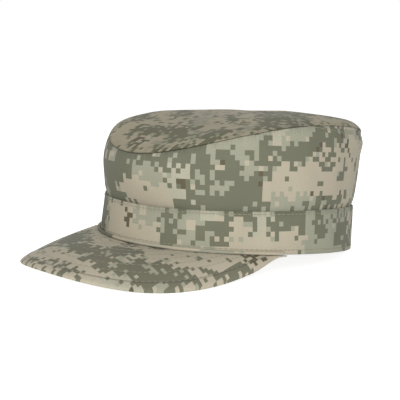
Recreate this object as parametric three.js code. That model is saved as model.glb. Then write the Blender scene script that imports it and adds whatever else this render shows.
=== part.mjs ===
// A soft patrol cap with a stiff peak, lying on a table.
// It is drawn level first: front towards -Y, wearer's left towards +X, the band's lower edge round z = 0.
// Then it is tipped back until the peak and the back of the band touch the table. Sizes are millimetres.
import * as THREE from "three";

// Lower edge of the band
const baseHalfLength = 101.6;
const baseHalfWidth = 86.4;
const baseArch = 1.85; // the edge rises this much over the ears and dips as much at front and back
const frontFullness = 0.05; // the forehead is wider than the nape by this share

// Upper edge of the band
const bandTopHalfLength = 98.6;
const bandTopHalfWidth = 86.1;
const bandTopShift = -1.3;
const bandFrontHeight = 25.4;
const bandBackHeight = 34.2;

// Top seam, where the side wall meets the top panel
const rimHalfLength = 105.0;
const rimHalfWidth = 82.9;
const rimShift = -0.8;
const rimFrontHeight = 56.4;
const rimSideHeight = 88.6;
const rimBackHeight = 90.5;
const rimBrow = 2.0; // flattens the seam at the front and steepens it over the temples

// Swell of the side wall and the dome of the top panel
const sideSwell = 0.95;
const frontSwell = 2.4;
const domeHeight = 11.2;
const domeShoulder = 2.8; // power of the dome: higher is flatter in the middle, with a rounder shoulder
const domeToBack = 0.17;
const shoulderRoll = 1.1;
const seamTuck = 0.5;

// Cloth
const clothThickness = 1.5;
const gap = 0.3;
const sideWallFoot = 2.2; // height of the side wall's lower edge inside the band

// Peak
const visorHalfAngle = 64.4; // degrees round the band from the front to where the peak ends
const visorReach = 64.2;
const visorSquareness = 2.22;
const visorDrop = 21.3;
const visorDropPower = 2.42;
const visorFrontArch = 7.4;
const visorSwell = 5.1;
const visorFlare = 0.6;
const visorThickness = 2.8;
const visorSeat = 1.2; // how far the peak reaches in under the band
const visorLastAngle = 88; // the peak's outline stops this near to its square ends, in degrees of its oval

// Rolled bead along the joint of band and peak
const weltRadius = 1.1;
const weltOverrun = 2; // degrees that the bead runs on past the peak

// Fineness of the faceted surfaces
const roundSteps = 84;
const visorSteps = 44;
const weltSteps = 40;
const weltSides = 8;

// Rows up the band's outer face, as shares of the band's height
const bandRows = [0, 0.33, 0.67, 1];

// Rows up the side wall: inBand is a share of the band's height, above a share of the way from band to top seam
const wallRows = [
  { inBand: 0.5, above: 0 },
  { inBand: 1, above: 0 },
  { inBand: 1, above: 0.03 },
  { inBand: 1, above: 0.08 },
  { inBand: 1, above: 0.15 },
  { inBand: 1, above: 0.28 },
  { inBand: 1, above: 0.42 },
  { inBand: 1, above: 0.56 },
  { inBand: 1, above: 0.7 },
  { inBand: 1, above: 0.83 },
  { inBand: 1, above: 0.93 },
  { inBand: 1, above: 0.98 },
  { inBand: 1, above: 1 },
];

// Rings of the top panel, as shares of the way from its middle to the seam
const topRings = [0.1, 0.26, 0.42, 0.57, 0.7, 0.81, 0.89, 0.95, 0.985, 1];

// Rows out along the peak, and its rounded edge as shares of the rounding and of the thickness
const visorRows = [0, 0.12, 0.27, 0.43, 0.6, 0.76, 0.9];
const visorRounding = 1.6;
const visorNose = [
  { inward: 1, down: 0 },
  { inward: 0.3, down: 0.18 },
  { inward: 0, down: 0.5 },
  { inward: 0.3, down: 0.82 },
  { inward: 1, down: 1 },
];

const radians = THREE.MathUtils.degToRad;

// A point of an oval seen from above; angle 0 is the front, +90 degrees the wearer's left
function ovalPoint(angle, halfLength, halfWidth, shift, fullness, height) {
  const across = halfWidth * Math.sin(angle) * (1 + fullness * Math.cos(angle));
  return new THREE.Vector3(across, shift - halfLength * Math.cos(angle), height);
}

// The same point moved outwards (or inwards, if negative) and up
function moved(point, angle, outward, up = 0) {
  return new THREE.Vector3(
    point.x + outward * Math.sin(angle),
    point.y - outward * Math.cos(angle),
    point.z + up,
  );
}

function basePoint(angle) {
  const height = -baseArch * Math.cos(2 * angle);
  return ovalPoint(angle, baseHalfLength, baseHalfWidth, 0, frontFullness, height);
}

function bandTopPoint(angle) {
  const middle = (bandFrontHeight + bandBackHeight) / 2;
  const slope = (bandFrontHeight - bandBackHeight) / 2;
  const height = basePoint(angle).z + middle + slope * Math.cos(angle);
  return ovalPoint(angle, bandTopHalfLength, bandTopHalfWidth, bandTopShift, frontFullness, height);
}

// Outer face of the band at a share of its height
function bandPoint(angle, share) {
  return basePoint(angle).lerp(bandTopPoint(angle), share);
}

// Height over the plan of the membrane stretched across the top seam; reach is 1 at the seam
function membraneHeight(angle, reach) {
  const level = (rimFrontHeight + rimBackHeight + 2 * rimSideHeight) / 4;
  const saddle = (rimFrontHeight + rimBackHeight - 2 * rimSideHeight) / 4;
  const slope = (rimFrontHeight - rimBackHeight) / 2 + rimBrow;
  return (
    level +
    slope * reach * Math.cos(angle) +
    saddle * reach ** 2 * Math.cos(2 * angle) -
    rimBrow * reach ** 3 * Math.cos(3 * angle)
  );
}

function rimPoint(angle) {
  const height = membraneHeight(angle, 1);
  return ovalPoint(angle, rimHalfLength, rimHalfWidth, rimShift, 0, height);
}

// Outer face of the side wall for one row of wallRows
function wallPoint(angle, row) {
  const underBand = clothThickness + gap;
  if (row.above === 0) {
    return moved(bandPoint(angle, row.inBand), angle, -underBand);
  }
  const swell = (sideSwell + frontSwell * Math.cos(angle)) * Math.sin(Math.PI * row.above ** 1.3);
  const leavesBand = underBand * Math.max(0, 1 - row.above / 0.15) ** 2;
  const meetsSeam = seamTuck * Math.max(0, (row.above - 0.92) / 0.08) ** 2;
  const point = bandTopPoint(angle).lerp(rimPoint(angle), row.above);
  return moved(point, angle, swell - leavesBand - meetsSeam);
}

// Outer face of the top panel
function topPoint(angle, reach) {
  const dome = domeHeight * (1 - reach ** domeShoulder) * (1 - domeToBack * reach * Math.cos(angle));
  const roll = shoulderRoll * (1 - reach ** 24);
  const height = membraneHeight(angle, reach) + dome + roll + gap;
  return ovalPoint(angle, rimHalfLength * reach, rimHalfWidth * reach, rimShift, 0, height);
}

// A closed body through sections that all have the same number of points.
// Sections either close on themselves round the cap or end in two flat caps.
function loft(sections, closesRound) {
  const count = sections[0].length;
  const positions = sections.flat().flatMap((point) => point.toArray());
  const faces = [];
  const last = closesRound ? sections.length : sections.length - 1;
  for (let i = 0; i < last; i += 1) {
    const next = (i + 1) % sections.length;
    for (let j = 0; j < count; j += 1) {
      const beside = (j + 1) % count;
      const corner = [i * count + j, next * count + j, next * count + beside, i * count + beside];
      faces.push(corner[0], corner[1], corner[2], corner[0], corner[2], corner[3]);
    }
  }
  if (!closesRound) {
    for (const end of [0, sections.length - 1]) {
      const middle = sections[end]
        .reduce((sum, point) => sum.add(point), new THREE.Vector3())
        .divideScalar(count);
      const hub = positions.length / 3;
      positions.push(...middle.toArray());
      for (let j = 0; j < count; j += 1) {
        const here = end * count + j;
        const beside = end * count + ((j + 1) % count);
        faces.push(...(end === 0 ? [hub, here, beside] : [hub, beside, here]));
      }
    }
  }
  const geometry = new THREE.BufferGeometry();
  geometry.setAttribute("position", new THREE.Float32BufferAttribute(positions, 3));
  geometry.setIndex(faces);
  geometry.computeVertexNormals();
  return geometry;
}

// Angles evenly spaced all the way round
function roundAngles() {
  return Array.from({ length: roundSteps }, (_, i) => (i / roundSteps) * 2 * Math.PI);
}

// Angles evenly spaced from -limit to +limit, both in degrees
function spanAngles(limit, steps) {
  return Array.from({ length: steps + 1 }, (_, i) => radians(limit * ((2 * i) / steps - 1)));
}

function bandGeometry() {
  const sections = roundAngles().map((angle) => {
    const outer = bandRows.map((share) => bandPoint(angle, share));
    const inner = [1, 0.5, 0].map((share) => moved(bandPoint(angle, share), angle, -clothThickness));
    return [...outer, ...inner];
  });
  return loft(sections, true);
}

function crownSideGeometry() {
  const sections = roundAngles().map((angle) => {
    const foot = moved(basePoint(angle), angle, -clothThickness - gap, sideWallFoot);
    const outer = [foot, ...wallRows.map((row) => wallPoint(angle, row))];
    const inner = outer.filter((_, i) => i % 2 === 0 || i === outer.length - 1);
    return [...outer, ...inner.reverse().map((point) => moved(point, angle, -clothThickness))];
  });
  return loft(sections, true);
}

function crownTopGeometry() {
  const edgeShare = 1 - clothThickness / rimHalfWidth;
  const outer = topRings.map((reach) =>
    roundAngles().map((angle) => moved(topPoint(angle, reach), angle, reach === 1 ? -seamTuck : 0)),
  );
  const seam = roundAngles().map((angle) =>
    moved(rimPoint(angle), angle, -seamTuck - clothThickness, gap),
  );
  const inner = topRings
    .filter((reach) => reach < edgeShare - 0.01)
    .map((reach) =>
      roundAngles().map((angle) => moved(topPoint(angle, reach * edgeShare), angle, 0, -clothThickness)),
    );
  return loft([...outer, seam, ...inner.reverse()], false);
}

// Upper face of the peak: side is the angle of its own oval, share runs from the band to the edge
function visorPoint(side, share) {
  const limit = radians(visorHalfAngle);
  const angle = (side / (Math.PI / 2)) * limit;
  const root = moved(basePoint(angle), angle, 2 * weltRadius + gap, -gap);
  const end = moved(basePoint(limit), limit, 2 * weltRadius + gap);
  const front = Math.max(0, Math.cos(side));
  const power = 2 / visorSquareness;
  const reach = baseHalfLength + 2 * weltRadius + gap + end.y + visorReach;
  const across = (end.x + visorFlare) * Math.sign(side) * Math.abs(Math.sin(side)) ** power;
  const fall = visorDrop * (1 - (1 - front) ** visorDropPower) - visorFrontArch * front ** 4;
  const edge = new THREE.Vector3(across, end.y - reach * front ** power, root.z - fall);
  const swell = 4 * share * (1 - share) * visorSwell * front;
  return root.lerp(edge, share).add(new THREE.Vector3(0, 0, swell));
}

function visorGeometry() {
  const sections = spanAngles(visorLastAngle, visorSteps).map((side) => {
    const angle = (side / (Math.PI / 2)) * radians(visorHalfAngle);
    const seat = moved(basePoint(angle), angle, -visorSeat, -gap);
    const width = visorPoint(side, 1).distanceTo(visorPoint(side, 0));
    const rounding = Math.min(visorRounding / width, 0.09);
    const nose = visorNose.map((row) => {
      const point = visorPoint(side, 1 - rounding * row.inward);
      point.z -= row.down * visorThickness;
      return point;
    });
    const upper = [seat, ...visorRows.map((share) => visorPoint(side, share))];
    const lower = upper.map((point) => moved(point, 0, 0, -visorThickness));
    return [...lower, ...nose.reverse(), ...upper.reverse()];
  });
  return loft(sections, false);
}

function weltGeometry() {
  const sections = spanAngles(visorHalfAngle + weltOverrun, weltSteps).map((angle) =>
    Array.from({ length: weltSides }, (_, j) => {
      const turn = (j / weltSides) * 2 * Math.PI;
      const outward = gap + weltRadius * (1 + Math.cos(turn));
      return moved(basePoint(angle), angle, outward, weltRadius * (1 + Math.sin(turn)));
    }),
  );
  return loft(sections, false);
}

function lowest(geometry, tilt) {
  const position = geometry.getAttribute("position");
  let height = Infinity;
  for (let i = 0; i < position.count; i += 1) {
    height = Math.min(height, position.getZ(i) * Math.cos(tilt) - position.getY(i) * Math.sin(tilt));
  }
  return height;
}

// Angle that the cap tips back until its peak and the back of its band stand on one level
function restTilt(visor, band) {
  let low = 0;
  let high = radians(30);
  for (let i = 0; i < 50; i += 1) {
    const tilt = (low + high) / 2;
    if (lowest(visor, tilt) < lowest(band, tilt)) {
      low = tilt;
    } else {
      high = tilt;
    }
  }
  return high;
}

// Camouflage twill, each panel in the mean colour of what it shows
function clothMaterial(color) {
  return new THREE.MeshStandardMaterial({ color, roughness: 0.92, metalness: 0 });
}

const pieces = [
  { name: "crown_top", geometry: crownTopGeometry(), color: 0x8f8d78 },
  { name: "crown_side", geometry: crownSideGeometry(), color: 0x9c9c88 },
  { name: "band", geometry: bandGeometry(), color: 0xa29e88 },
  { name: "visor", geometry: visorGeometry(), color: 0x969481 },
  { name: "visor_welt", geometry: weltGeometry(), color: 0xa69c82 },
];

const geometryOf = (name) => pieces.find((piece) => piece.name === name).geometry;
const tilt = restTilt(geometryOf("visor"), geometryOf("band"));
const box = new THREE.Box3();
for (const piece of pieces) {
  piece.geometry.rotateX(-tilt);
  piece.geometry.computeBoundingBox();
  box.union(piece.geometry.boundingBox);
}

const group = new THREE.Group();
group.name = "patrol_cap";
for (const piece of pieces) {
  piece.geometry.translate(-(box.min.x + box.max.x) / 2, -(box.min.y + box.max.y) / 2, -box.min.z);
  const mesh = new THREE.Mesh(piece.geometry, clothMaterial(piece.color));
  mesh.name = piece.name;
  group.add(mesh);
}

export default group;
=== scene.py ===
"""A soft patrol cap of camouflage cloth, dressed for a picture.

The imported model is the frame. Each of its cloth nodes is replaced by a finer copy of the same shape, mapped
in millimetres of cloth, printed with a pattern of small squares, and sewn with rows of thread.
"""
import logging
import math
from dataclasses import dataclass, field
from enum import Enum

import bpy
import numpy as np
from mathutils import Matrix, Vector, noise
from mathutils.bvhtree import BVHTree


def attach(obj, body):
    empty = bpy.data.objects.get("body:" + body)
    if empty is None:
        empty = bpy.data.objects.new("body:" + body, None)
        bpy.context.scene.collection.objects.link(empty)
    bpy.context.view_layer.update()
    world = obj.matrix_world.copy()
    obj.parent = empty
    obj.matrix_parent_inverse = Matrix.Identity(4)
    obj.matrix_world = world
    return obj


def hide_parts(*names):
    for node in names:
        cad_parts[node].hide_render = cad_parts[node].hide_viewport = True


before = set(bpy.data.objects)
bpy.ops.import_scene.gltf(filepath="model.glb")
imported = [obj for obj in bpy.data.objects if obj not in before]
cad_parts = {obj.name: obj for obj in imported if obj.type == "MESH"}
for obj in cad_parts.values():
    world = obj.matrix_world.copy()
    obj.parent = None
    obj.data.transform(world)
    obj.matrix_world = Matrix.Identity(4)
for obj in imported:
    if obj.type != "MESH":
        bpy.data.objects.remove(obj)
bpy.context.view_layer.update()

log = logging.getLogger("patrol_cap")
MM = 0.001
ROUND_STEPS = 721

Tree = bpy.types.NodeTree
Socket = bpy.types.NodeSocket


class Tone(Enum):
    """Tones of the print, as places on one scale from brown to tan."""

    BROWN = 0.03
    DARK = 0.20
    LIGHT = 0.47
    PALE = 0.62
    TAN = 0.88


class Face(Enum):
    """Ways a thread row finds its cloth: from the side, or from above."""

    SIDE = "side"
    ABOVE = "above"


def linear(code: str) -> tuple[float, float, float, float]:
    """Turns an sRGB hex colour to linear light.

    Args:
        code: the colour as "#rrggbb".

    Returns:
        Red, green and blue in linear light, and full opacity.
    """
    parts = [int(code[i:i + 2], 16) / 255 for i in (1, 3, 5)]
    red, green, blue = (c / 12.92 if c <= 0.04045 else ((c + 0.055) / 1.055) ** 2.4 for c in parts)
    return red, green, blue, 1.0


def hill(share: np.ndarray) -> np.ndarray:
    """Returns a smooth hill over shares of its width: one halfway, and none at zero and at one."""
    return np.sin(np.pi * np.clip(share, 0, 1)) ** 2


def add_node(tree: Tree, kind: str, links: dict | None = None, **settings: object) -> bpy.types.Node:
    """Adds one node to a material.

    Args:
        tree: the material's node tree.
        kind: the node's type.
        links: an input's name or number, and the value or the output socket that feeds it.
        settings: the node's own properties.

    Returns:
        The new node.
    """
    node = tree.nodes.new(kind)
    for name, value in settings.items():
        setattr(node, name, value)
    for key, value in (links or {}).items():
        if isinstance(value, Socket):
            tree.links.new(value, node.inputs[key])
        else:
            node.inputs[key].default_value = value
    return node


def number_from(tree: Tree, operation: str, *terms: object) -> Socket:
    """Works out a number, the same way for every point of a surface.

    Args:
        tree: the material's node tree.
        operation: the math node's operation.
        terms: the node's inputs in order, each a value or the output socket that feeds it.

    Returns:
        The result's socket.
    """
    return add_node(tree, "ShaderNodeMath", dict(enumerate(terms)), operation=operation).outputs[0]


def vector_from(tree: Tree, operation: str, *terms: object) -> Socket:
    """Works out a vector as number_from does a number."""
    return add_node(tree, "ShaderNodeVectorMath", dict(enumerate(terms)), operation=operation).outputs[0]


def scaled(tree: Tree, colour: object, shade: Socket) -> Socket:
    """Returns a colour made lighter or darker by a factor."""
    links = {0: colour, "Scale": shade}
    return add_node(tree, "ShaderNodeVectorMath", links, operation="SCALE").outputs[0]


def ranged(tree: Tree, *terms: object, **settings: object) -> Socket:
    """Turns a number from its range to another, held at both ends. The terms are it and both ranges."""
    return add_node(tree, "ShaderNodeMapRange", dict(enumerate(terms)), **settings).outputs[0]


def cloud_from(tree: Tree, place: Socket, scale: float, detail: float, rough: float = 0.5) -> Socket:
    """Returns soft noise over a place, mostly from 0.3 to 0.7."""
    links = {"Vector": place, "Scale": scale, "Detail": detail, "Roughness": rough}
    return add_node(tree, "ShaderNodeTexNoise", links).outputs[0]


def varied(tree: Tree, cloud: Socket, low: float, high: float) -> Socket:
    """Turns soft noise to a range of its own."""
    return ranged(tree, cloud, 0.3, 0.7, low, high)


def bare_material(name: str) -> bpy.types.Material:
    """Returns a new material that has no nodes yet."""
    material = bpy.data.materials.new(name)
    material.use_nodes = True
    material.node_tree.nodes.clear()
    return material


def end_in(tree: Tree, skin: dict) -> None:
    """Ends a material in one surface, whose inputs are given by name."""
    surface = add_node(tree, "ShaderNodeBsdfPrincipled", skin)
    add_node(tree, "ShaderNodeOutputMaterial", {"Surface": surface.outputs[0]})


def way_from(azimuth: float, elevation: float) -> Vector:
    """Returns the way out at degrees from the cap's front to the wearer's left, and above the table."""
    turn, rise = math.radians(azimuth), math.radians(elevation)
    return Vector((math.sin(turn) * math.cos(rise), -math.cos(turn) * math.cos(rise), math.sin(rise)))


def select_only(piece: bpy.types.Object | None) -> None:
    """Deselects everything, then selects a piece, if one is given, and makes it active."""
    for other in bpy.context.selected_objects:
        other.select_set(False)
    bpy.context.view_layer.objects.active = piece
    if piece is not None:
        piece.select_set(True)


def points_of(mesh: bpy.types.Mesh) -> np.ndarray:
    """Returns a mesh's vertices as rows of x, y and z in metres."""
    flat = np.empty(len(mesh.vertices) * 3)
    mesh.vertices.foreach_get("co", flat)
    return flat.reshape(-1, 3)


def place_points(mesh: bpy.types.Mesh, points: np.ndarray) -> None:
    """Moves a mesh's vertices to rows of x, y and z in metres."""
    mesh.vertices.foreach_set("co", points.ravel())
    mesh.update()


@dataclass(frozen=True)
class CapForm:
    """The cap's own level frame and its named sizes, in millimetres.

    The front is at -Y and the cap's middle is at x = y = 0. The band's lower edge is near z = 0.
    """

    base_half_length: float = 101.6
    base_half_width: float = 86.4
    base_arch: float = 1.85
    front_fullness: float = 0.05
    band_front: float = 25.4
    band_back: float = 34.2
    top_half_length: float = 98.6
    top_half_width: float = 86.1
    rim_half_length: float = 105.0
    rim_half_width: float = 82.9
    rim_height: float = 88.0
    rim_roll: float = 13.0
    rim_sink: float = 2.2
    front_sink: float = 0.2
    rim_puff: float = 0.8
    rise_width: float = 22.0
    rise_depth: float = 8.0
    swell_width: float = 12.0
    swell_depth: float = 17.0
    slack_share: float = 0.4
    near_middle: float = 0.5

    def tilt(self) -> tuple[float, np.ndarray]:
        """Finds how the cap leans back at rest.

        Returns:
            The angle in radians, and the level frame's origin at rest in millimetres.
        """
        band = points_of(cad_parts["band"].data) / MM
        middle = band[np.abs(band[:, 0]) < self.near_middle]
        front, back = middle[np.argmin(middle[:, 1])], middle[np.argmin(middle[:, 2])]
        angle = math.atan2(front[2] - back[2], back[1] - front[1])
        up = np.array([0.0, math.sin(angle), math.cos(angle)])
        return angle, (front + back) / 2 + up * self.base_arch

    def to_level(self, points: np.ndarray) -> np.ndarray:
        """Turns points at rest, in metres, to the level frame in millimetres."""
        angle, origin = self.tilt()
        ahead, rise = math.cos(angle), math.sin(angle)
        x, y, z = (points / MM - origin).T
        return np.stack([x, y * ahead - z * rise, y * rise + z * ahead], -1)

    def to_rest(self, points: np.ndarray) -> np.ndarray:
        """Turns level points in millimetres to the frame at rest in metres."""
        angle, origin = self.tilt()
        ahead, rise = math.cos(angle), math.sin(angle)
        x, y, z = points.T
        return (np.stack([x, y * ahead + z * rise, z * ahead - y * rise], -1) + origin) * MM

    def turn(self, level: np.ndarray) -> np.ndarray:
        """Returns the angle of level points round the head, in radians from the front."""
        share = np.clip((level[:, 2] - self.band_front) / (self.rim_height - self.band_front), 0, 1)
        length = self.top_half_length + (self.rim_half_length - self.top_half_length) * share
        width = self.top_half_width + (self.rim_half_width - self.top_half_width) * share
        return np.arctan2(level[:, 0] / width, -level[:, 1] / length)

    def around(self, angle: np.ndarray) -> np.ndarray:
        """Returns the millimetres of cloth from the front to an angle round the head."""
        steps = np.linspace(0, np.pi, ROUND_STEPS)
        x = self.base_half_width * np.sin(steps) * (1 + self.front_fullness * np.cos(steps))
        y = -self.base_half_length * np.cos(steps)
        run = np.concatenate([[0], np.cumsum(np.hypot(np.diff(x), np.diff(y)))])
        return np.sign(angle) * np.interp(np.abs(angle), steps, run)

    def side(self, y: np.ndarray) -> np.ndarray:
        """Returns the half width of the band's lower edge at level places from front to back."""
        ahead = np.clip(-y / self.base_half_length, -1, 1)
        return self.base_half_width * np.sqrt(1 - ahead ** 2) * (1 + self.front_fullness * ahead)

    def slackness(self, angle: np.ndarray) -> np.ndarray:
        """Returns how slack the crown's rim is at an angle round the head, from none at the front to one."""
        return np.clip(self.slack_share - np.cos(angle), 0, 1)

    def sink(self, angle: np.ndarray) -> np.ndarray:
        """Returns how far the crown's rim sinks at an angle round the head."""
        return self.rim_sink * (self.front_sink + (1 - self.front_sink) * self.slackness(angle))

    def roll(self, level: np.ndarray) -> np.ndarray:
        """Rounds the crown's rim, most at the back, where the cloth is slack and swells beside its seam.

        Args:
            level: points of the crown in the level frame.

        Returns:
            The same points, those at the rim moved in and down, and those beside it up or out.
        """
        angle = np.arctan2(level[:, 0] / self.rim_half_width, -level[:, 1] / self.rim_half_length)
        rim = np.stack([self.rim_half_width * np.sin(angle), -self.rim_half_length * np.cos(angle)], -1)
        out = rim / np.linalg.norm(rim, axis=1)[:, None]
        inside = np.sum((rim - level[:, :2]) * out, axis=1)
        below = self.rim_height - level[:, 2]
        near = np.clip(1 - np.hypot(inside, np.maximum(below, 0)) / self.rim_roll, 0, 1) ** 2
        pull = near * self.sink(angle)
        puff = self.rim_puff * self.slackness(angle)
        rise = puff / 2 * hill(inside / self.rise_width) * np.clip(1 - below / self.rise_depth, 0, 1)
        swell = puff * hill(below / self.swell_depth) * np.clip(1 - inside / self.swell_width, 0, 1)
        return level + np.concatenate([out * (swell - pull)[:, None], (rise - pull)[:, None]], axis=1)

    def foot(self, angle: np.ndarray) -> np.ndarray:
        """Returns the height of the band's lower edge in the level frame."""
        return -self.base_arch * np.cos(2 * angle)

    def band_edge(self, angle: np.ndarray) -> np.ndarray:
        """Returns the height of the band's top edge in the level frame."""
        middle, slope = (self.band_front + self.band_back) / 2, (self.band_front - self.band_back) / 2
        return self.foot(angle) + middle + slope * np.cos(angle)


@dataclass(frozen=True)
class Area:
    """A main area of a print.

    Its middle and half sizes are in millimetres of cloth, and its turn is in degrees.
    """

    along: float
    up: float
    half_length: float
    half_width: float
    turn: float
    tone: Tone


@dataclass(frozen=True)
class Print:
    """A printed camouflage of small squares: brown, dark green, two pale grey-greens and tan.

    The eye sees flat, matt areas with stepped edges. The squares are 2 to 3 mm wide, as on such cloth.
    A few main areas are laid over a random base. Their edges are frayed square by square. Stray squares are
    a step lighter than what is round them, or its opposite.
    """

    areas: tuple[Area, ...] = ()
    brown: str = "#665f4c"
    dark: str = "#747562"
    light: str = "#a1a18e"
    pale: str = "#b4b19d"
    tan: str = "#bab19c"
    square: tuple[float, float] = (3.0, 3.2)
    drift: float = 4.0
    fine_drift: float = 2.8
    cloud: float = 0.052
    speck: float = 0.16
    fray: float = 5.6
    seed: float = 0.0
    fleck: float = 0.04
    lighter: float = 0.27
    opposite: float = -0.69

    def scattered(self, tree: Tree, chance: bpy.types.Node, spot: Socket, reach: tuple) -> Socket:
        """Moves a spot by a node's random colour, up to half of reach each way along each axis."""
        centred = vector_from(tree, "ADD", chance.outputs["Color"], (-0.5, -0.5, -0.5))
        return vector_from(tree, "MULTIPLY_ADD", centred, reach, spot)

    def laid_over(self, tree: Tree, spot: Socket, area: Area, tone: Socket) -> Socket:
        """Lays one area over the tones below it.

        Args:
            tree: the material's nodes.
            spot: the middle of each square in millimetres, moved at random, with one as its third number.
            area: the area.
            tone: the tones so far.

        Returns:
            The tones with the area's own inside it.
        """
        ahead, aside = math.cos(math.radians(area.turn)), math.sin(math.radians(area.turn))
        middle_ahead = area.along * ahead + area.up * aside
        middle_aside = area.up * ahead - area.along * aside
        reach = []
        for x, y, middle, half in (
            (ahead, aside, middle_ahead, area.half_length),
            (-aside, ahead, middle_aside, area.half_width),
        ):
            links = {0: spot, 1: (x / half, y / half, -middle / half)}
            share = add_node(tree, "ShaderNodeVectorMath", links, operation="DOT_PRODUCT").outputs["Value"]
            reach.append(number_from(tree, "ABSOLUTE", share))
        outside = number_from(tree, "GREATER_THAN", number_from(tree, "MAXIMUM", *reach), 1.0)
        links = {0: outside, 2: area.tone.value, 3: tone}
        return add_node(tree, "ShaderNodeMix", links, data_type="FLOAT").outputs[0]

    def base(self, tree: Tree, fine: Socket, square: bpy.types.Node, block: bpy.types.Node) -> Socket:
        """Builds the random tones that show where no area is.

        Args:
            tree: the material's nodes.
            fine: the corner of each square in millimetres.
            square: the random numbers of each square.
            block: the random numbers of each block of four squares.

        Returns:
            The tone of each square.
        """
        far = self.scattered(tree, block, fine, (self.drift,) * 3)
        spot = self.scattered(tree, square, far, (self.fine_drift,) * 3)
        moved = vector_from(tree, "ADD", spot, (0, 0, self.seed))
        tone = ranged(tree, cloud_from(tree, moved, self.cloud, 1.5, 0.55), 0.34, 0.66, 0.0, 1.0)
        tone = number_from(tree, "MULTIPLY_ADD", square.outputs["Value"], self.speck, tone)
        return number_from(tree, "ADD", tone, -self.speck / 2)

    def flecked(self, tree: Tree, chance: Socket, tone: Socket) -> Socket:
        """Makes a few squares a step lighter, and a few the opposite of what is round them."""
        for operation, limit, change in (
            ("GREATER_THAN", 1 - self.fleck, self.lighter),
            ("LESS_THAN", self.fleck, self.opposite),
        ):
            picked = number_from(tree, operation, chance, limit)
            tone = number_from(tree, "MULTIPLY_ADD", picked, change, tone)
            tone = number_from(tree, "ABSOLUTE", tone)
        return tone

    def dyed(self, tree: Tree, tone: Socket) -> Socket:
        """Gives each tone its colour, from the place on the scale where it starts."""
        ramp = add_node(tree, "ShaderNodeValToRGB", {0: tone})
        ramp.color_ramp.interpolation = "CONSTANT"
        elements = ramp.color_ramp.elements
        starts = (0.0, 0.08, 0.36, 0.58, 0.66)
        colours = (self.brown, self.dark, self.light, self.pale, self.tan)
        for step, (start, colour) in enumerate(zip(starts, colours)):
            element = elements[step] if step < len(elements) else elements.new(start)
            element.position, element.color = start, linear(colour)
        return ramp.outputs["Color"]

    def field(self, tree: Tree, place: Socket) -> Socket:
        """Builds the whole print.

        Args:
            tree: the material's nodes.
            place: the cloth's place in millimetres.

        Returns:
            A colour that is the same all over each square.
        """
        wide, tall = self.square
        fine = vector_from(tree, "SNAP", place, (wide, tall, 1))
        coarse = vector_from(tree, "SNAP", fine, (wide * 2, tall * 2, 1))
        square = add_node(tree, "ShaderNodeTexWhiteNoise", {"Vector": fine}, noise_dimensions="3D")
        block = add_node(tree, "ShaderNodeTexWhiteNoise", {"Vector": coarse}, noise_dimensions="3D")
        frayed = self.scattered(tree, block, fine, (self.fray, self.fray, 0))
        frayed = self.scattered(tree, square, frayed, (self.fray, self.fray, 0))
        spot = vector_from(tree, "MULTIPLY_ADD", frayed, (1, 1, 0), (wide / 2, tall / 2, 1))
        tone = self.base(tree, fine, square, block)
        for area in self.areas:
            tone = self.laid_over(tree, spot, area, tone)
        for chance in (block, square):
            tone = self.flecked(tree, chance.outputs["Value"], tone)
        return self.dyed(tree, tone)


@dataclass(frozen=True)
class Seam:
    """Where a seam draws the cloth in, in millimetres from the cloth's edge, and how dark it looks.

    With a pitch, the seam comes again and again, as the rows on the peak do. How dark it looks is painted
    shade, darkening the cloth's colour along the seam.
    """

    place: float
    half_width: float = 0.9
    depth: float = 0.35
    shade: float = 0.84
    pitch: float = 0.0


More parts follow.
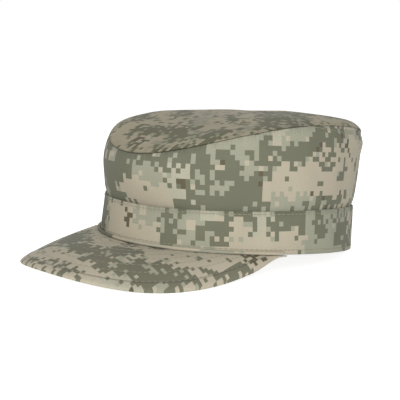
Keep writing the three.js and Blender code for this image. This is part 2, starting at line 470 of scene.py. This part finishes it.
@dataclass(frozen=True)
class RipstopTwill:
    """Printed cotton and nylon ripstop twill.

    It is matt, with a faint bloom at a grazing angle and a fine grain. Its threads are finer than the picture
    can show, so the grain is drawn about 1.3 mm wide. Seams sink into it, with painted shade along them, and
    it puckers beside a gathered one, with painted shade in its folds.
    """

    name: str
    pattern: Print
    seams: tuple[Seam, ...] = ()
    pucker: float = 0.0
    pucker_start: float = 0.5
    pucker_end: float = 7.0
    fold_end: float = 5.0
    painted_fold_darkening: float = 0.16
    gather: float = 0.6
    stretch: float = 0.04
    roughness: float = 0.86
    sheen: float = 0.10
    grain: float = 1.3
    grain_height: float = 0.05
    grain_shade: float = 0.035
    wear: float = 0.03
    fade: float = 0.05
    fold: float = 0.035
    slack: float = 0.5

    def sunk(self, tree: Tree, edge: Socket, seam: Seam) -> Socket:
        """Finds how near the cloth is to a seam.

        Args:
            tree: the material's nodes.
            edge: millimetres from the cloth's edge.
            seam: the seam.

        Returns:
            One in the middle of the seam, falling to zero beside it.
        """
        off = number_from(tree, "SUBTRACT", edge, seam.place)
        if seam.pitch:
            turn = number_from(tree, "PINGPONG", number_from(tree, "MAXIMUM", off, 0.0), seam.pitch / 2)
            off = number_from(tree, "SUBTRACT", turn, number_from(tree, "MINIMUM", off, 0.0))
        far = number_from(tree, "ABSOLUTE", off)
        return ranged(tree, far, 0.0, seam.half_width, 1.0, 0.0, interpolation_type="SMOOTHSTEP")

    def woven(self, tree: Tree, place: Socket) -> tuple[Socket, Socket]:
        """Builds the cloth's uneven dye, its threads and its slack folds.

        Args:
            tree: the material's nodes.
            place: the cloth's place in millimetres.

        Returns:
            How light the cloth is, as a factor, and its height in millimetres.
        """
        worn = cloud_from(tree, place, self.wear, 3.0)
        threads = cloud_from(tree, place, 1 / self.grain, 2.0)
        folds = cloud_from(tree, place, self.fold, 1.0)
        faded = varied(tree, worn, 1 - self.fade, 1 + self.fade)
        fleck = varied(tree, threads, 1 - self.grain_shade, 1 + self.grain_shade)
        height = number_from(tree, "MULTIPLY", threads, self.grain_height)
        height = number_from(tree, "MULTIPLY_ADD", folds, self.slack, height)
        return number_from(tree, "MULTIPLY", faded, fleck), height

    def puckered(self, tree: Tree, place: Socket, edge: Socket) -> tuple[Socket, Socket]:
        """Draws the cloth up in small folds beside a gathered seam.

        Args:
            tree: the material's nodes.
            place: the cloth's place in millimetres.
            edge: millimetres from the cloth's edge.

        Returns:
            The painted shade in the folds, as a factor, and their height in millimetres.
        """
        along = vector_from(tree, "MULTIPLY", place, (self.gather, self.stretch, 0))
        ripple = cloud_from(tree, along, 1.0, 1.5)
        reach = ranged(
            tree, edge, self.pucker_start, self.pucker_end, self.pucker, 0.0, interpolation_type="SMOOTHSTEP"
        )
        # Painted shade: the low places of the ripple are darkened, most near the seam.
        fold = ranged(tree, ripple, 0.42, 0.58, 0.0, -self.painted_fold_darkening)
        near = ranged(tree, edge, self.pucker_start, self.fold_end, 1.0, 0.0)
        painted_pucker_shade = number_from(tree, "MULTIPLY_ADD", fold, near, 1.0)
        return painted_pucker_shade, number_from(tree, "MULTIPLY", ripple, reach)

    def make(self) -> bpy.types.Material:
        """Returns the finished material."""
        material = bare_material(self.name)
        tree = material.node_tree
        place = add_node(tree, "ShaderNodeUVMap", uv_map="cloth_mm").outputs[0]
        edge = add_node(tree, "ShaderNodeAttribute", attribute_name="edge_mm").outputs["Fac"]
        shade, height = self.woven(tree, place)
        for seam in self.seams:
            near = self.sunk(tree, edge, seam)
            height = number_from(tree, "MULTIPLY_ADD", near, -seam.depth, height)
            # Painted shade: the cloth's colour is darkened along each seam.
            shade = number_from(tree, "MULTIPLY", shade, ranged(tree, near, 0.0, 1.0, 1.0, seam.shade))
        if self.pucker:
            painted_pucker_shade, rise = self.puckered(tree, place, edge)
            height = number_from(tree, "ADD", height, rise)
            # Painted shade in the pucker folds darkens the cloth's colour.
            shade = number_from(tree, "MULTIPLY", shade, painted_pucker_shade)
        end_in(tree, {
            "Base Color": scaled(tree, self.pattern.field(tree, place), shade),
            "Roughness": self.roughness,
            "Specular IOR Level": 0.25,
            "Sheen Weight": self.sheen,
            "Sheen Roughness": 0.5,
            "Normal": add_node(tree, "ShaderNodeBump", {"Height": height, "Distance": MM}).outputs[0],
        })
        return material


@dataclass(frozen=True)
class SewingThread:
    """Spun polyester sewing thread, a little glossier than the cloth, so that stitches catch the light."""

    name: str = "olive_polyester_thread"
    colour: str = "#a29e87"
    roughness: float = 0.6
    ply: float = 900.0

    def make(self) -> bpy.types.Material:
        """Returns the finished material."""
        material = bare_material(self.name)
        tree = material.node_tree
        place = add_node(tree, "ShaderNodeTexCoord").outputs["Object"]
        shade = varied(tree, cloud_from(tree, place, self.ply, 1.0), 0.85, 1.1)
        dyed = scaled(tree, linear(self.colour)[:3], shade)
        end_in(tree, {"Base Color": dyed, "Roughness": self.roughness, "Specular IOR Level": 0.35})
        return material


@dataclass
class ClothPiece:
    """A cloth node of the cap, as a finer copy with its own map and print. Sizes are in millimetres."""

    node: str
    slot: str
    finish: RipstopTwill
    form: CapForm = field(default_factory=CapForm)
    levels: int = 2
    crease: float = 0.75
    sharp: float = 40.0
    smooth: float = 50.0
    rolled: bool = False
    waviness: float = 0.0
    wave: float = 21.0
    held_within: float = 14.0
    faces_down: float = -0.3

    def cut(self) -> bpy.types.Object:
        """Copies the node's mesh and makes it finer.

        Returns:
            The cloth piece, in the node's place.
        """
        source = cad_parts[self.node]
        mesh = source.data.copy()
        mesh.transform(source.matrix_world)
        mesh.materials.clear()
        piece = bpy.data.objects.new(f"{self.node}_cloth", mesh)
        bpy.context.scene.collection.objects.link(piece)
        select_only(piece)
        flattest, squarest = math.radians(60), math.radians(150)
        bpy.ops.object.mode_set(mode="EDIT")
        bpy.ops.mesh.select_all(action="SELECT")
        bpy.ops.mesh.remove_doubles(threshold=1e-6)
        bpy.ops.mesh.tris_convert_to_quads(face_threshold=flattest, shape_threshold=squarest)
        bpy.ops.mesh.select_all(action="DESELECT")
        bpy.ops.mesh.edges_select_sharp(sharpness=math.radians(self.sharp))
        bpy.ops.transform.edge_crease(value=self.crease)
        bpy.ops.object.mode_set(mode="OBJECT")
        bpy.ops.object.modifier_add(type="SUBSURF")
        piece.modifiers[0].levels = piece.modifiers[0].render_levels = self.levels
        bpy.ops.object.modifier_apply(modifier=piece.modifiers[0].name)
        bpy.ops.object.shade_smooth_by_angle(angle=math.radians(self.smooth))
        return piece

    def map(self, level: np.ndarray) -> tuple[np.ndarray, np.ndarray]:
        """Maps level points to millimetres of cloth, here as seen from above.

        Args:
            level: the points in the level frame.

        Returns:
            The place along and up the cloth.
        """
        return level[:, 0], level[:, 1]

    def chart(self, piece: bpy.types.Object) -> None:
        """Writes the cloth's map, in millimetres, to the piece. No face spans the join at the back."""
        mesh = piece.data
        corners = np.empty(len(mesh.loops), dtype=np.int64)
        mesh.loops.foreach_get("vertex_index", corners)
        starts = np.empty(len(mesh.polygons), dtype=np.int64)
        mesh.polygons.foreach_get("loop_start", starts)
        counts = np.empty(len(mesh.polygons), dtype=np.int64)
        mesh.polygons.foreach_get("loop_total", counts)
        along, up = (places[corners] for places in self.map(self.form.to_level(points_of(mesh))))
        most = np.repeat(np.maximum.reduceat(along, starts), counts)
        whole = 2 * float(self.form.around(np.array([np.pi]))[0])
        along = np.where(most - along > whole / 2, along + whole, along)
        while mesh.uv_layers:
            mesh.uv_layers.remove(mesh.uv_layers[0])
        layer = mesh.uv_layers.new(name="cloth_mm")
        layer.data.foreach_set("uv", np.stack([along, up], -1).astype(np.float32).ravel())

    def from_edge(self, level: np.ndarray) -> np.ndarray:
        """Returns how far level points are from the seam that edges this cloth, in millimetres."""
        raise NotImplementedError

    def shaped(self, level: np.ndarray, under: np.ndarray) -> np.ndarray:
        """Changes the form a little before it is mapped.

        Args:
            level: the points in the level frame.
            under: true where the cloth faces down.

        Returns:
            The points in their new places.
        """
        return self.form.roll(level) if self.rolled else level

    def out_of(self, level: np.ndarray) -> np.ndarray:
        """Returns the way out of the cap at level points."""
        return np.tile([0.0, 0.0, 1.0], (len(level), 1))

    def held(self, level: np.ndarray) -> np.ndarray:
        """Returns how free the cloth is at level points, from none at its seams to one."""
        return np.clip(self.from_edge(level) / self.held_within, 0, 1)

    def relax(self, piece: bpy.types.Object) -> None:
        """Lets the cloth swell and sink a little between its seams."""
        level = self.form.to_level(points_of(piece.data))
        swell = np.array([noise.noise(Vector(point) / self.wave) for point in level])
        moved = level + self.out_of(level) * (swell * self.held(level) * self.waviness)[:, None]
        place_points(piece.data, self.form.to_rest(moved))

    def mark_edge(self, piece: bpy.types.Object) -> None:
        """Writes the distance from the cloth's edge to the piece."""
        far = self.from_edge(self.form.to_level(points_of(piece.data)))
        layer = piece.data.attributes.new("edge_mm", "FLOAT", "POINT")
        layer.data.foreach_set("value", far.astype(np.float32))

    def make(self) -> bpy.types.Object:
        """Builds, maps, dresses and places the piece.

        Returns:
            The finished piece.
        """
        piece = self.cut()
        under = np.array([vertex.normal.z < self.faces_down for vertex in piece.data.vertices])
        level = self.form.to_level(points_of(piece.data))
        place_points(piece.data, self.form.to_rest(self.shaped(level, under)))
        self.chart(piece)
        self.mark_edge(piece)
        if self.waviness:
            self.relax(piece)
        piece.data.materials.append(self.finish.make())
        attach(piece, "root")
        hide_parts(self.node)
        log.info("%s: %d faces", piece.name, len(piece.data.polygons))
        return piece


@dataclass
class WallPiece(ClothPiece):
    """A wall round the head. Its map is millimetres round from the front, and above the band's top edge."""

    lean: float = 0.0
    sections: int = 168
    free_from: float = 2.0
    free_over: float = 12.0

    def map(self, level: np.ndarray) -> tuple[np.ndarray, np.ndarray]:
        """Maps level points round the head and above the band's top edge."""
        angle = self.form.turn(level)
        up = level[:, 2] - self.form.band_edge(angle)
        return self.form.around(angle) + self.lean * up, up

    def from_edge(self, level: np.ndarray) -> np.ndarray:
        """Returns how far level points are below the highest points of the wall there."""
        angle = self.form.turn(level)
        bounds = np.linspace(-np.pi, np.pi, self.sections + 1)
        which = np.digitize(angle, bounds) - 1
        top = np.array([level[which == i, 2].max(initial=-np.inf) for i in range(self.sections)])
        middle = (bounds[:-1] + bounds[1:]) / 2
        return np.interp(angle, middle[np.isfinite(top)], top[np.isfinite(top)]) - level[:, 2]

    def out_of(self, level: np.ndarray) -> np.ndarray:
        """Returns the level way out from the cap's middle at level points."""
        return level * (1, 1, 0) / np.hypot(level[:, 0], level[:, 1])[:, None]

    def held(self, level: np.ndarray) -> np.ndarray:
        """Returns how free the wall is, which is held by its top seam and by the band."""
        above = level[:, 2] - self.form.band_edge(self.form.turn(level))
        return super().held(level) * np.clip((above - self.free_from) / self.free_over, 0, 1)


@dataclass
class TopPanel(ClothPiece):
    """The oval top of the crown. Its map is the plan of the cap, in millimetres."""

    def from_edge(self, level: np.ndarray) -> np.ndarray:
        """Returns how far level points are inside the panel's outline."""
        share = np.hypot(level[:, 0] / self.form.rim_half_width, level[:, 1] / self.form.rim_half_length)
        return (1 - share) * self.form.rim_half_width


@dataclass
class Peak(ClothPiece):
    """The stiff peak. Its map is the plan of the cap, and its edge is the front outline.

    A rear corner is what lies less than corner short of end, or past it, along the way out corner_way.
    """

    half_width: float = 82.5
    root: float = -44.8
    reach: float = 123.5
    squareness: float = 2.22
    corner_way: tuple[float, float] = (0.75, 0.667)
    end: float = 27.8
    corner: float = 13.0
    taper: float = 2.4
    narrowing: float = 0.9
    tail: float = 9.0
    seam_height: float = 0.75
    seam_thickness: float = 0.5
    insets: tuple[float, float] = (-4.0, 80.0)
    halvings: int = 30
    covered: float = 1.03
    shortest: int = 8

    def shaped(self, level: np.ndarray, under: np.ndarray) -> np.ndarray:
        """Draws each rear corner out along the band's lower edge, thin and narrow, as its sewn end is."""
        x, y, z = np.abs(level[:, 0]), level[:, 1], level[:, 2]
        beyond = self.corner_way[0] * x + self.corner_way[1] * y
        share = np.clip(1 + (beyond - self.end) / self.corner, 0, 1) ** self.taper
        back = y + share * self.tail
        out = x - self.form.side(y)
        drawn = self.form.side(back) + np.where(out > 0, out * (1 - self.narrowing * share), out)
        rise = share * (self.seam_height - self.seam_thickness * under - z)
        return np.stack([np.sign(level[:, 0]) * np.where(share > 0, drawn, x), back, z + rise], -1)

    def from_edge(self, level: np.ndarray) -> np.ndarray:
        """Returns how far level points are inside the peak's outline, as seen from above."""
        across, ahead = np.abs(level[:, 0]), np.maximum(self.root - level[:, 1], 0)
        near, far = (np.full(len(level), inset) for inset in self.insets)
        for _ in range(self.halvings):
            inset = (near + far) / 2
            sideways = (across / (self.half_width - inset)) ** self.squareness
            inside = sideways + (ahead / (self.reach - inset)) ** self.squareness < 1
            near, far = np.where(inside, inset, near), np.where(inside, far, inset)
        return near

    def row(self, inset: float) -> list[np.ndarray]:
        """Finds a line inside the peak's outline, left out where the band covers it.

        Args:
            inset: how far inside, in millimetres.

        Returns:
            The line's parts, as level points with their height left at zero.
        """
        side = np.radians(np.linspace(-88, 88, 1200))  # degrees of its own oval
        power = 2 / self.squareness
        x = (self.half_width - inset) * np.sign(side) * np.abs(np.sin(side)) ** power
        y = self.root - (self.reach - inset) * np.cos(side) ** power
        line = np.stack([x, y, 0 * x], -1)
        head = np.hypot(x / (self.form.base_half_width * 1.04), y / self.form.base_half_length)
        open_places = np.flatnonzero(head > self.covered)
        parts = np.split(open_places, np.flatnonzero(np.diff(open_places) > 1) + 1)
        return [line[part] for part in parts if len(part) > self.shortest]


@dataclass
class ThreadRow:
    """Rows of lockstitches that lie on one piece of cloth. Sizes are in millimetres.

    One stitch is modelled and copied along each row. It is a short thread with thin ends that dip into
    the cloth.
    """

    name: str
    slot: str
    carrier: bpy.types.Object
    rows: list[np.ndarray]
    face: Face
    thread: SewingThread = field(default_factory=SewingThread)
    form: CapForm = field(default_factory=CapForm)
    stitch: float = 2.6
    step: float = 3.3
    thick: float = 0.5
    middle_share: float = 0.55
    dip: float = 0.22
    proud: float = 0.08
    end_share: float = 0.4
    clear_beside: float = 30.0
    clear_above: float = 60.0

    def one_stitch(self) -> tuple[np.ndarray, list[tuple[int, ...]]]:
        """Models one stitch along x.

        Returns:
            Its points in millimetres, and its faces.
        """
        select_only(None)
        radius, depth = self.thick / 2 * MM, self.stitch * self.middle_share * MM
        lying = (0, math.pi / 2, 0)
        bpy.ops.mesh.primitive_cylinder_add(vertices=6, radius=radius, depth=depth, rotation=lying)
        stitch = bpy.context.active_object
        select_only(stitch)
        bpy.ops.object.transform_apply(location=True, rotation=True, scale=True)
        end = self.stitch * (1 - self.middle_share) / 2 * MM
        for side in (-1, 1):
            bpy.ops.object.mode_set(mode="EDIT")
            bpy.ops.mesh.select_mode(type="FACE")
            bpy.ops.mesh.select_all(action="DESELECT")
            bpy.ops.object.mode_set(mode="OBJECT")
            for polygon in stitch.data.polygons:
                polygon.select = polygon.normal.x * side > 0.9
            bpy.ops.object.mode_set(mode="EDIT")
            shift = (side * end, 0, -self.dip * self.thick * MM)
            bpy.ops.mesh.extrude_region_move(TRANSFORM_OT_translate={"value": shift})
            bpy.ops.transform.resize(value=(1, self.end_share, self.end_share))
            bpy.ops.object.mode_set(mode="OBJECT")
        points = points_of(stitch.data) / MM
        faces = [tuple(polygon.vertices) for polygon in stitch.data.polygons]
        bpy.data.objects.remove(stitch, do_unlink=True)
        return points, faces

    def spread(self, row: np.ndarray) -> tuple[np.ndarray, np.ndarray]:
        """Spaces the stitches evenly.

        Args:
            row: level points along the row.

        Returns:
            Each stitch's place and direction in the level frame.
        """
        run = np.concatenate([[0], np.cumsum(np.linalg.norm(np.diff(row, axis=0), axis=1))])
        steps = np.arange(self.step / 2, run[-1], self.step)
        place = np.stack([np.interp(steps, run, row[:, i]) for i in range(3)], -1)
        ahead = np.stack([np.interp(steps + 0.5, run, row[:, i]) for i in range(3)], -1)
        return place, ahead - place

    def seats(self) -> list[tuple[Vector, Vector, Vector]]:
        """Drops each stitch on the cloth, from outside the cap or from above it.

        Returns:
            Each stitch's place on the cloth, the way out of the cloth and the way along the row.
        """
        mesh = self.carrier.data
        faces = [tuple(polygon.vertices) for polygon in mesh.polygons]
        cloth = BVHTree.FromPolygons([vertex.co for vertex in mesh.vertices], faces)
        found = []
        for row in self.rows:
            place, ahead = self.spread(row)
            away = place * (1, 1, 0) / np.hypot(place[:, 0], place[:, 1])[:, None] * self.clear_beside
            away = np.array([[0, 0, self.clear_above]]) if self.face is Face.ABOVE else away
            middle, start, lead = (self.form.to_rest(v) for v in (place, place + away, place + ahead))
            for here, outer, forward in zip(middle, start, lead - middle):
                hit, normal, _, _ = cloth.ray_cast(Vector(outer), Vector(here - outer).normalized())
                if hit is not None:
                    forward = Vector(forward)
                    found.append((hit, normal, (forward - normal * forward.dot(normal)).normalized()))
        return found

    def make(self) -> None:
        """Copies the stitch along the rows, down on the cloth, as one piece."""
        shape, faces = self.one_stitch()
        points, sides = [], []
        for hit, normal, forward in self.seats():
            turn = np.array([forward, normal.cross(forward), normal])
            sides += [tuple(i + len(points) * len(shape) for i in face) for face in faces]
            points.append((shape * MM) @ turn + np.array(hit + normal * self.proud * MM))
        mesh = bpy.data.meshes.new(self.name)
        mesh.from_pydata(np.concatenate(points).tolist(), [], sides)
        piece = bpy.data.objects.new(self.name, mesh)
        bpy.context.scene.collection.objects.link(piece)
        select_only(piece)
        bpy.ops.object.shade_smooth()
        mesh.materials.append(self.thread.make())
        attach(piece, "root")
        log.info("%s: %d stitches", self.name, len(points))


@dataclass(frozen=True)
class PhotoCamera:
    """The camera that took the photograph: a short telephoto at the front left, a little above the table.

    Its angles are in degrees, its distance and target in metres, and its lens in millimetres.
    """

    azimuth: float = 43.567
    elevation: float = 7.557
    roll: float = 2.4385
    distance: float = 0.60308
    target: tuple[float, float, float] = (-0.03476, 0.030989, 0.03362)
    lens: float = 69.606
    sensor: float = 36.0

    def make(self) -> None:
        """Puts the camera in place and in use."""
        turn, roll = math.radians(self.azimuth), math.radians(self.roll)
        right = Vector((math.cos(turn), math.sin(turn), 0))
        back = way_from(self.azimuth, self.elevation)
        up = back.cross(right)
        side = right * math.cos(roll) + up * math.sin(roll)
        over = up * math.cos(roll) - right * math.sin(roll)
        data = bpy.data.cameras.new("photo_camera")
        data.lens, data.sensor_width = self.lens, self.sensor
        data.clip_start, data.clip_end = 0.01, 50
        camera = bpy.data.objects.new("photo_camera", data)
        bpy.context.scene.collection.objects.link(camera)
        place = Matrix.Translation(Vector(self.target) + back * self.distance)
        camera.matrix_world = place @ Matrix((side, over, back)).transposed().to_4x4()
        bpy.context.scene.camera = camera


@dataclass(frozen=True)
class Studio:
    """A plain pale floor, lit a little from within as a light table is, in an even white room.

    One large soft light stands low before the cap, so that its walls are brighter than its top, as in
    the photograph. A weaker one behind keeps the far side clear when it is looked at. Sizes are in metres,
    powers in watts and angles in degrees.
    """

    floor_size: float = 60.0
    room: float = 0.27
    glow: float = 0.22
    seen_glow: float = 0.84
    key_power: float = 35.0
    key_size: float = 1.6
    key_azimuth: float = 40.0
    key_elevation: float = 22.0
    key_distance: float = 2.2
    fill_power: float = 12.0
    fill_azimuth: float = 225.0
    fill_elevation: float = 24.0

    def floor(self) -> None:
        """Lays the pale floor. It looks brighter than the light it gives."""
        select_only(None)
        bpy.ops.mesh.primitive_plane_add(size=self.floor_size, location=(0, 0, 0))
        plane = bpy.context.active_object
        plane.name = "studio_floor"
        material = bare_material("white_acrylic_light_table")
        tree = material.node_tree
        seen = add_node(tree, "ShaderNodeLightPath").outputs["Is Camera Ray"]
        end_in(tree, {
            "Base Color": (0.9, 0.9, 0.9, 1),
            "Roughness": 0.9,
            "Specular IOR Level": 0.0,
            "Emission Color": (1, 1, 1, 1),
            "Emission Strength": ranged(tree, seen, 0.0, 1.0, self.glow, self.seen_glow),
        })
        plane.data.materials.append(material)

    def light(self) -> None:
        """Lights the room, which gives less light than it looks, and sets the soft lights."""
        world = bpy.data.worlds.new("white_room")
        bpy.context.scene.world = world
        world.use_nodes = True
        tree = world.node_tree
        tree.nodes.clear()
        seen = add_node(tree, "ShaderNodeLightPath").outputs["Is Camera Ray"]
        strength = ranged(tree, seen, 0.0, 1.0, self.room, 1.0)
        room = add_node(tree, "ShaderNodeBackground", {"Color": (1, 1, 1, 1), "Strength": strength})
        add_node(tree, "ShaderNodeOutputWorld", {"Surface": room.outputs[0]})
        self.lamp("soft_light", self.key_power, self.key_azimuth, self.key_elevation)
        self.lamp("weak_light_behind", self.fill_power, self.fill_azimuth, self.fill_elevation)

    def lamp(self, name: str, power: float, azimuth: float, elevation: float) -> None:
        """Sets one large soft light.

        Args:
            name: the light's name.
            power: its power in watts.
            azimuth: where it stands, in degrees from the cap's front towards the wearer's left.
            elevation: how high it stands, in degrees.
        """
        data = bpy.data.lights.new(name, type="AREA")
        data.energy, data.size = power, self.key_size
        lamp = bpy.data.objects.new(name, data)
        bpy.context.scene.collection.objects.link(lamp)
        place = way_from(azimuth, elevation) * self.key_distance
        lamp.matrix_world = Matrix.Translation(place) @ place.to_track_quat("Z", "Y").to_matrix().to_4x4()

    def set_up(self) -> None:
        """Builds the floor and the lights."""
        self.floor()
        self.light()
        bpy.context.scene.view_settings.view_transform = "Standard"


D, B, L, P, T = Tone.DARK, Tone.BROWN, Tone.LIGHT, Tone.PALE, Tone.TAN
# The main areas of each print: middle along and up, half length, half width, turn and tone.
# On the walls, along is round from the front and up is from the band's top edge. On the top and the peak
# both are on the plan, along towards the wearer's left and up towards the back.
SIDE_AREAS = (
    Area(8, 22, 56, 26, 0, D), Area(10, 7, 20, 8, 0, T), Area(17, 20, 13, 6, 0, L),
    Area(36, 17, 8, 8, 0, P), Area(-21, 31, 5, 4, 0, L), Area(70, 15, 15, 16, 0, D),
    Area(66, 17, 5, 3, 0, L), Area(68, 42, 11, 9, 0, L), Area(103, 42, 28, 19, 0, L),
    Area(160, 28, 39, 19, 0, T), Area(107, 38, 21, 6, 0, D), Area(109, 20, 20, 11, 0, T),
    Area(113, 5, 16, 5, 0, L), Area(80, 10, 6, 11, 0, D), Area(140, 50, 14, 8, 0, D),
    Area(147, 4, 20, 4, 0, D), Area(160, 23, 7, 4, 0, D), Area(52, 13, 4, 3, 0, L),
    Area(58, 20, 3, 3, 0, L), Area(50, 27, 3, 3, 0, L), Area(92, 3, 5, 4, 0, D),
    Area(136, 31, 6, 4, 0, D), Area(147, 36, 3, 4, 0, D), Area(157, 37, 4, 3, 0, D),
    Area(165, 43, 6, 2, 0, B), Area(137, 41, 3, 3, 0, B), Area(103, 50, 6, 3, 0, P),
)
BAND_AREAS = (
    Area(-42, -8, 18, 9, 0, D), Area(-4, -14, 26, 14, 0, T), Area(14, -6, 13, 6, 0, L),
    Area(93, -22, 27, 8, 0, T), Area(50, -10, 25, 10, 0, D), Area(44, -7, 9, 6, 0, L),
    Area(48, -23, 12, 4, 0, L), Area(100, -6, 30, 7, 0, D), Area(75, -9, 5, 4, 0, T),
    Area(58, -4, 4, 4, 0, P), Area(160, -17, 39, 18, 0, L), Area(139, -13, 8, 7, 0, D),
    Area(168, -16, 9, 5, 0, D), Area(91, -7, 4, 6, 0, P), Area(160, -5, 4, 4, 0, D),
    Area(-6, -8, 3, 4, 0, B), Area(183, -17, 14, 13, 0, D), Area(187, -9, 5, 3, 0, T),
)
PEAK_AREAS = (
    Area(10, -105, 90, 70, 0, T), Area(-36, -118, 28, 12, -38, D), Area(8, -140, 25, 9, -8, D),
    Area(22, -127, 10, 11, 0, D), Area(48, -129, 18, 9, 50, D), Area(62, -118, 10, 8, 60, D),
    Area(0, -163, 24, 3, 0, D), Area(5, -104, 14, 4, -50, B), Area(18, -92, 15, 5, -40, B),
    Area(73, -58, 12, 4, -62, B), Area(76, -86, 16, 3, 72, D), Area(34, -135, 5, 3, 0, L),
    Area(50, -147, 14, 5, 50, P), Area(63, -130, 12, 6, 60, D),
)
TOP_AREAS = (
    Area(0, -30, 84, 76, 0, T), Area(-5, -75, 27, 9, 8, D), Area(30, -78, 23, 9, 10, D),
    Area(38, -94, 14, 4, 20, D), Area(56, -22, 50, 19, -50, D), Area(-58, -48, 20, 8, -50, D),
    Area(-36, -24, 24, 7, -48, D), Area(52, -58, 10, 5, -40, L), Area(5, -52, 13, 7, -40, L),
    Area(15, -95, 10, 3, -30, L), Area(-8, -93, 6, 3, -20, B), Area(22, -36, 22, 4, -46, D),
    Area(-6, -30, 24, 4, -46, L), Area(66, -66, 12, 4, 50, T), Area(40, 45, 36, 16, -50, D),
)
WELT_AREAS = (
    Area(55, -30, 145, 40, 0, T), Area(-37, -30, 23, 40, 0, D), Area(16, -30, 14, 40, 0, P),
    Area(62, -30, 16, 40, 0, L),
)
# The top panel is the walls' cloth with darker colours: painted shade, since the top faces up, away from the
# low soft light.
TOP_PRINT_PAINTED_SHADE = Print(
    TOP_AREAS, dark="#6d6c54", light="#96947c", tan="#aba289", square=(2.5, 2.5), seed=5.0, fleck=0.08
)
# The peak is the walls' cloth with lighter colours: painted light, since the peak faces up towards the front
# light.
PEAK_PRINT_PAINTED_LIGHT = Print(
    PEAK_AREAS, dark="#7b7a67", light="#a9a995", pale="#b9b6a2", tan="#c1b8a3", square=(2.3, 2.3), seed=23.0
)


@dataclass
class Crown:
    """The crown: the top panel, the side wall and the seam between them."""

    form: CapForm = field(default_factory=CapForm)
    seam_row: float = 2.3

    def row(self) -> np.ndarray:
        """Returns the level points of the row of stitches below the top seam."""
        angle = np.linspace(-np.pi, np.pi, ROUND_STEPS)
        x, y = self.form.rim_half_width * np.sin(angle), -self.form.rim_half_length * np.cos(angle)
        return np.stack([x, y, self.form.rim_height - self.form.sink(angle) - self.seam_row], -1)

    def build(self) -> None:
        """Builds the crown and the stitches below its top seam."""
        # Each seam's fourth number is the painted shade along it.
        top_seam, side_seam = Seam(0.1, 0.7, 0.2, 0.78), Seam(0.0, 0.7, 0.25, 0.72)
        top = RipstopTwill("printed_ripstop_top_painted_shade", TOP_PRINT_PAINTED_SHADE, (top_seam,), pucker=0.5, slack=1.0)
        side = RipstopTwill("printed_ripstop_side", Print(SIDE_AREAS, seed=11.0), (side_seam,), pucker=0.9)
        TopPanel("crown_top", "crown_cloth", top, rolled=True, waviness=1.1, wave=27.0).make()
        wall = WallPiece("crown_side", "crown_cloth", side, rolled=True, waviness=1.1, wave=24.0).make()
        ThreadRow("crown_stitching", "crown_cloth", wall, [self.row()], Face.SIDE, step=3.0, thick=0.4).make()


@dataclass
class Band:
    """The band round the crown, with a row of stitches along each edge."""

    form: CapForm = field(default_factory=CapForm)
    top_row: float = 1.9
    low_row: float = 3.0
    lean: float = 0.106

    def rows(self) -> list[np.ndarray]:
        """Returns the level points of the rows along the band's top and lower edges."""
        angle = np.linspace(-np.pi, np.pi, ROUND_STEPS)
        x, y = self.form.base_half_width * np.sin(angle), -self.form.base_half_length * np.cos(angle)
        heights = (self.form.band_edge(angle) - self.top_row, self.low_row + self.form.foot(angle))
        return [np.stack([x, y, height], -1) for height in heights]

    def build(self) -> None:
        """Builds the band and its two rows of stitches."""
        # The seam's fourth number is the painted shade along it.
        seam = Seam(self.top_row, 0.8, 0.12, 0.95)
        twill = RipstopTwill("printed_ripstop_band", Print(BAND_AREAS, seed=37.0), (seam,), pucker=0.4)
        cloth = WallPiece("band", "band_cloth", twill, lean=self.lean).make()
        ThreadRow("band_stitching", "band_cloth", cloth, self.rows(), Face.SIDE).make()


@dataclass
class PeakAssembly:
    """The peak, the rows of stitches that stiffen it, and the rolled welt along its joint with the band."""

    first_row: float = 4.6
    pitch: float = 6.4
    rows: int = 9

    def build(self) -> None:
        """Builds the peak, its rows and its welt."""
        # Each seam's fourth number is the painted shade along it.
        edge_seam = Seam(self.first_row, 1.0, 0.4, 0.82)
        inner_seams = Seam(self.first_row + self.pitch, 1.2, 0.1, 0.975, self.pitch)
        twill = RipstopTwill("printed_ripstop_peak_painted_light", PEAK_PRINT_PAINTED_LIGHT, (edge_seam, inner_seams))
        rolled = RipstopTwill("rolled_ripstop_welt", Print(WELT_AREAS, seed=3.0), slack=0.0)
        peak = Peak("visor", "visor_cloth", twill)
        cloth = peak.make()
        WallPiece("visor_welt", "welt_cloth", rolled).make()
        lines = [part for i in range(self.rows) for part in peak.row(self.first_row + self.pitch * i)]
        ThreadRow("peak_stitching", "visor_cloth", cloth, lines, Face.ABOVE, thick=0.3, step=3.6).make()


def main() -> None:
    """Builds the camera, the studio and the cap, and logs the faces of each cloth piece and the stitches of
    each thread piece.
    """
    logging.basicConfig(level=logging.INFO, format="%(name)s: %(message)s")
    PhotoCamera().make()
    Studio().set_up()
    for assembly in (Crown(), Band(), PeakAssembly()):
        assembly.build()


if __name__ == "__main__":
    main()
